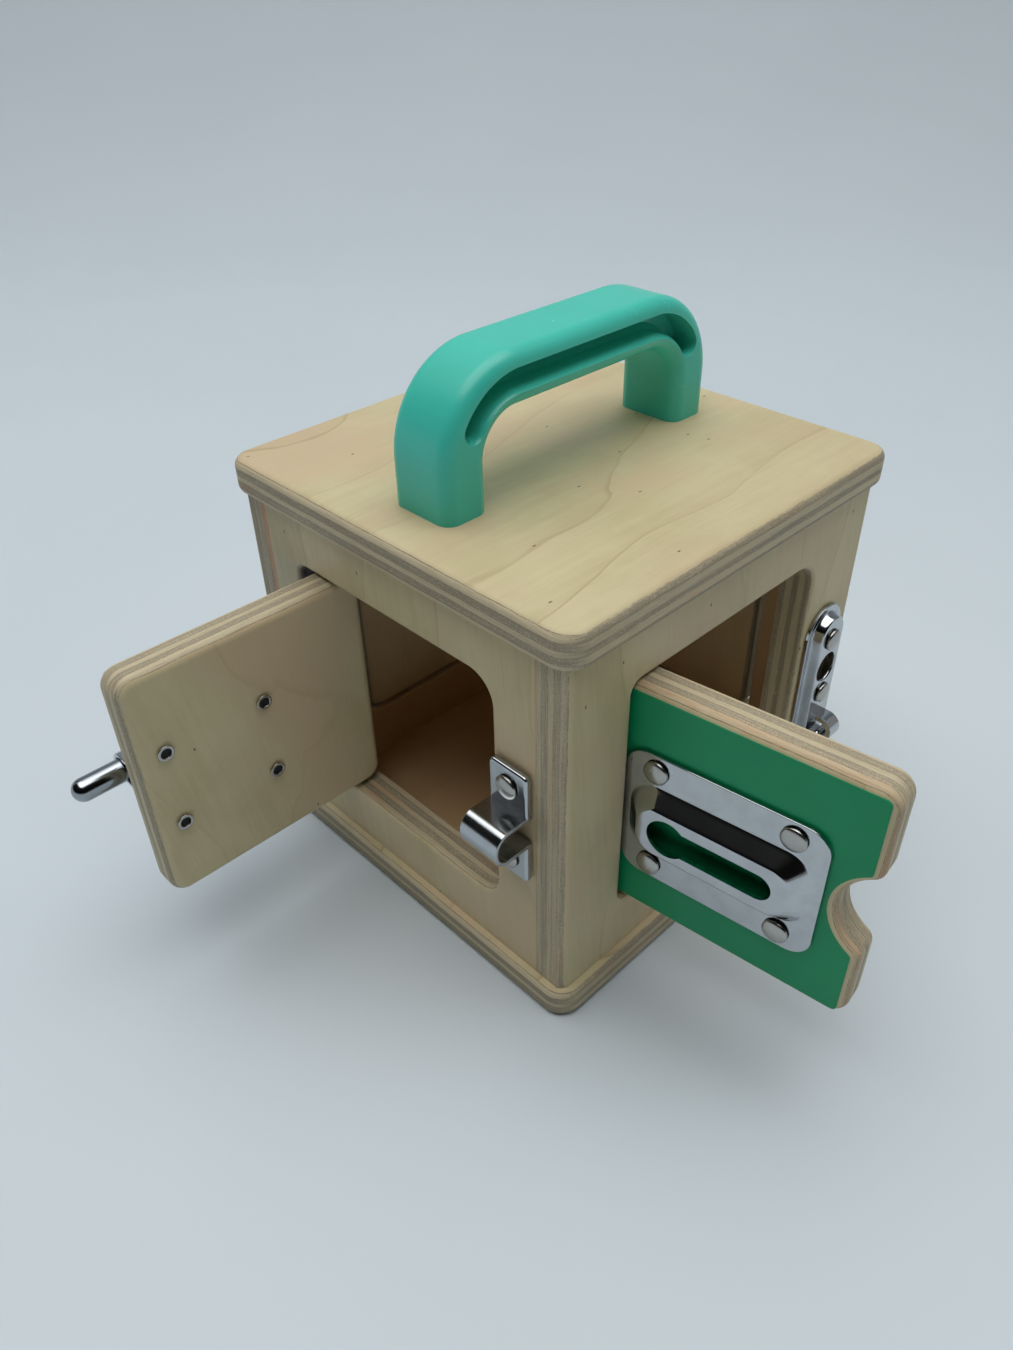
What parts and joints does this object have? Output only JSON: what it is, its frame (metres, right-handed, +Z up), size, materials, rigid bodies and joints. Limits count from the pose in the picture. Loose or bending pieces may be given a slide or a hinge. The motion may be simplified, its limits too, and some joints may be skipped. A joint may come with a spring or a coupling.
{
  "type": "wooden latch box",
  "caption": "Cube-shaped plywood toy box with a hinged door in each wall, each held by a different latch, and a carrying handle on top.",
  "frame": {"origin": "middle of the base's footprint, on the surface that the box stands on", "axes": "+Z up, -Y out of the front wall with the barrel bolt's door, +X out of the wall with the door chain"},
  "size_m": [0.1937, 0.2096, 0.161],
  "materials": {
    "plywood": "clear satin varnish on birch plywood",
    "green_facing": "thin satin laminate let into the door's face",
    "blue_facing": "thin satin laminate let into the door's face",
    "yellow_facing": "thin satin laminate let into the door's face",
    "red_facing": "thin satin laminate let into the door's face",
    "red_wood": "red lacquer on turned beech",
    "handle_plastic": "satin moulded plastic",
    "chrome": "bright plated steel",
    "zinc": "zinc-plated steel"
  },
  "bodies": {
    "box": {"base_panel": "plywood", "top_panel": "plywood", "front_wall": "plywood", "back_wall": "plywood", "left_wall": "plywood", "right_wall": "plywood", "handle": "handle_plastic", "handle_screw_near": "zinc", "handle_screw_far": "zinc", "front_hinge_pin_lower": "zinc", "front_hinge_pin_upper": "zinc", "right_hinge_pin_lower": "zinc", "right_hinge_pin_upper": "zinc", "back_hinge_pin_lower": "zinc", "back_hinge_pin_upper": "zinc", "left_hinge_pin_lower": "zinc", "left_hinge_pin_upper": "zinc", "keeper": "chrome", "keeper_rivet_1": "chrome", "keeper_rivet_2": "chrome", "chain_anchor": "chrome", "anchor_rivet_1": "chrome", "anchor_rivet_2": "chrome", "left_button_screw": "zinc", "swivel_plate": "chrome", "swivel_pivot": "chrome", "swivel_rivet_1": "chrome", "swivel_rivet_2": "chrome"},
    "front_leaf": {"front_door": "plywood", "front_door_facing": "blue_facing", "bolt_plate": "chrome", "bolt_rivet_1": "chrome", "bolt_rivet_2": "chrome", "bolt_rivet_3": "chrome", "bolt_rivet_4": "chrome"},
    "front_bolt": {"bolt_rod": "chrome", "bolt_knob": "chrome"},
    "right_leaf": {"right_door": "plywood", "right_door_facing": "green_facing", "track_plate": "chrome", "track_rivet_1": "chrome", "track_rivet_2": "chrome", "track_rivet_3": "chrome", "track_rivet_4": "chrome"},
    "back_leaf": {"back_door": "plywood", "back_door_facing": "yellow_facing"},
    "left_leaf": {"left_door": "plywood", "left_door_facing": "red_facing", "left_pull": "red_wood"},
    "left_turn_button": {"left_button": "red_wood"},
    "back_swivel": {"swivel_lever": "chrome", "swivel_knob": "chrome"},
    "ring": {"chain_ring": "chrome"},
    "link_1": {"chain_link_1": "chrome"},
    "link_2": {"chain_link_2": "chrome"},
    "link_3": {"chain_link_3": "chrome"},
    "link_4": {"chain_link_4": "chrome"},
    "link_5": {"chain_link_5": "chrome"},
    "link_6": {"chain_link_6": "chrome"},
    "knob": {"chain_knob": "chrome"}
  },
  "joints": [
    {"name": "front_door_hinge", "type": "hinge", "parent": "box", "child": "front_leaf", "pos_m": [-0.0304, -0.0564, 0.0639], "axis": [0, 0, 1], "range_deg": [-30, 90.4]},
    {"name": "front_bolt_slide", "type": "slide", "parent": "front_leaf", "child": "front_bolt", "axis": [-0.007, -1, 0], "range_m": [-0.012, 0]},
    {"name": "right_door_hinge", "type": "hinge", "parent": "box", "child": "right_leaf", "pos_m": [0.0547, -0.032, 0.0639], "axis": [0, 0, 1], "range_deg": [0, 83.1]},
    {"name": "back_door_hinge", "type": "hinge", "parent": "box", "child": "back_leaf", "pos_m": [0.0304, 0.0564, 0.0639], "axis": [0, 0, 1], "range_deg": [-115, 0]},
    {"name": "left_door_hinge", "type": "hinge", "parent": "box", "child": "left_leaf", "pos_m": [-0.0564, 0.0304, 0.0639], "axis": [0, 0, 1], "range_deg": [-115, 0]},
    {"name": "left_button_turn", "type": "hinge", "parent": "box", "child": "left_turn_button", "pos_m": [-0.0645, -0.0445, 0.0632], "axis": [-1, 0, 0], "range_deg": [0, 90]},
    {"name": "back_swivel_turn", "type": "hinge", "parent": "box", "child": "back_swivel", "pos_m": [-0.046, 0.0645, 0.0632], "axis": [0, 1, 0], "range_deg": [0, 90]},
    {"name": "chain_ring_swing", "type": "hinge", "parent": "box", "child": "ring", "pos_m": [0.0664, 0.0458, 0.0411], "axis": [0, -1, 0], "range_deg": [0, 60]},
    {"name": "chain_link_1_swing", "type": "hinge", "parent": "ring", "child": "link_1", "pos_m": [0.0664, 0.0458, 0.0321], "axis": [0, -1, 0], "range_deg": [0, 45]},
    {"name": "chain_link_2_swing", "type": "hinge", "parent": "link_1", "child": "link_2", "pos_m": [0.0664, 0.0458, 0.0231], "axis": [1, 0, 0], "range_deg": [-25, 25]},
    {"name": "chain_link_3_swing", "type": "hinge", "parent": "link_2", "child": "link_3", "pos_m": [0.0664, 0.0458, 0.0141], "axis": [0, -1, 0], "range_deg": [0, 45]},
    {"name": "chain_link_4_swing", "type": "hinge", "parent": "link_3", "child": "link_4", "pos_m": [0.0664, 0.0458, 0.0051], "axis": [1, 0, 0], "range_deg": [-15, 75]},
    {"name": "chain_link_5_swing", "type": "hinge", "parent": "link_4", "child": "link_5", "pos_m": [0.0664, 0.0368, 0.0051], "axis": [0, 0, 1], "range_deg": [-10, 50]},
    {"name": "chain_link_6_swing", "type": "hinge", "parent": "link_5", "child": "link_6", "pos_m": [0.0709, 0.02901, 0.0051], "axis": [0.866, 0.5, 0], "range_deg": [-20, 30]},
    {"name": "chain_knob_swing", "type": "hinge", "parent": "link_6", "child": "knob", "pos_m": [0.0754, 0.02121, 0.0051], "axis": [0, 0, 1], "range_deg": [-20, 30]}
  ]
}
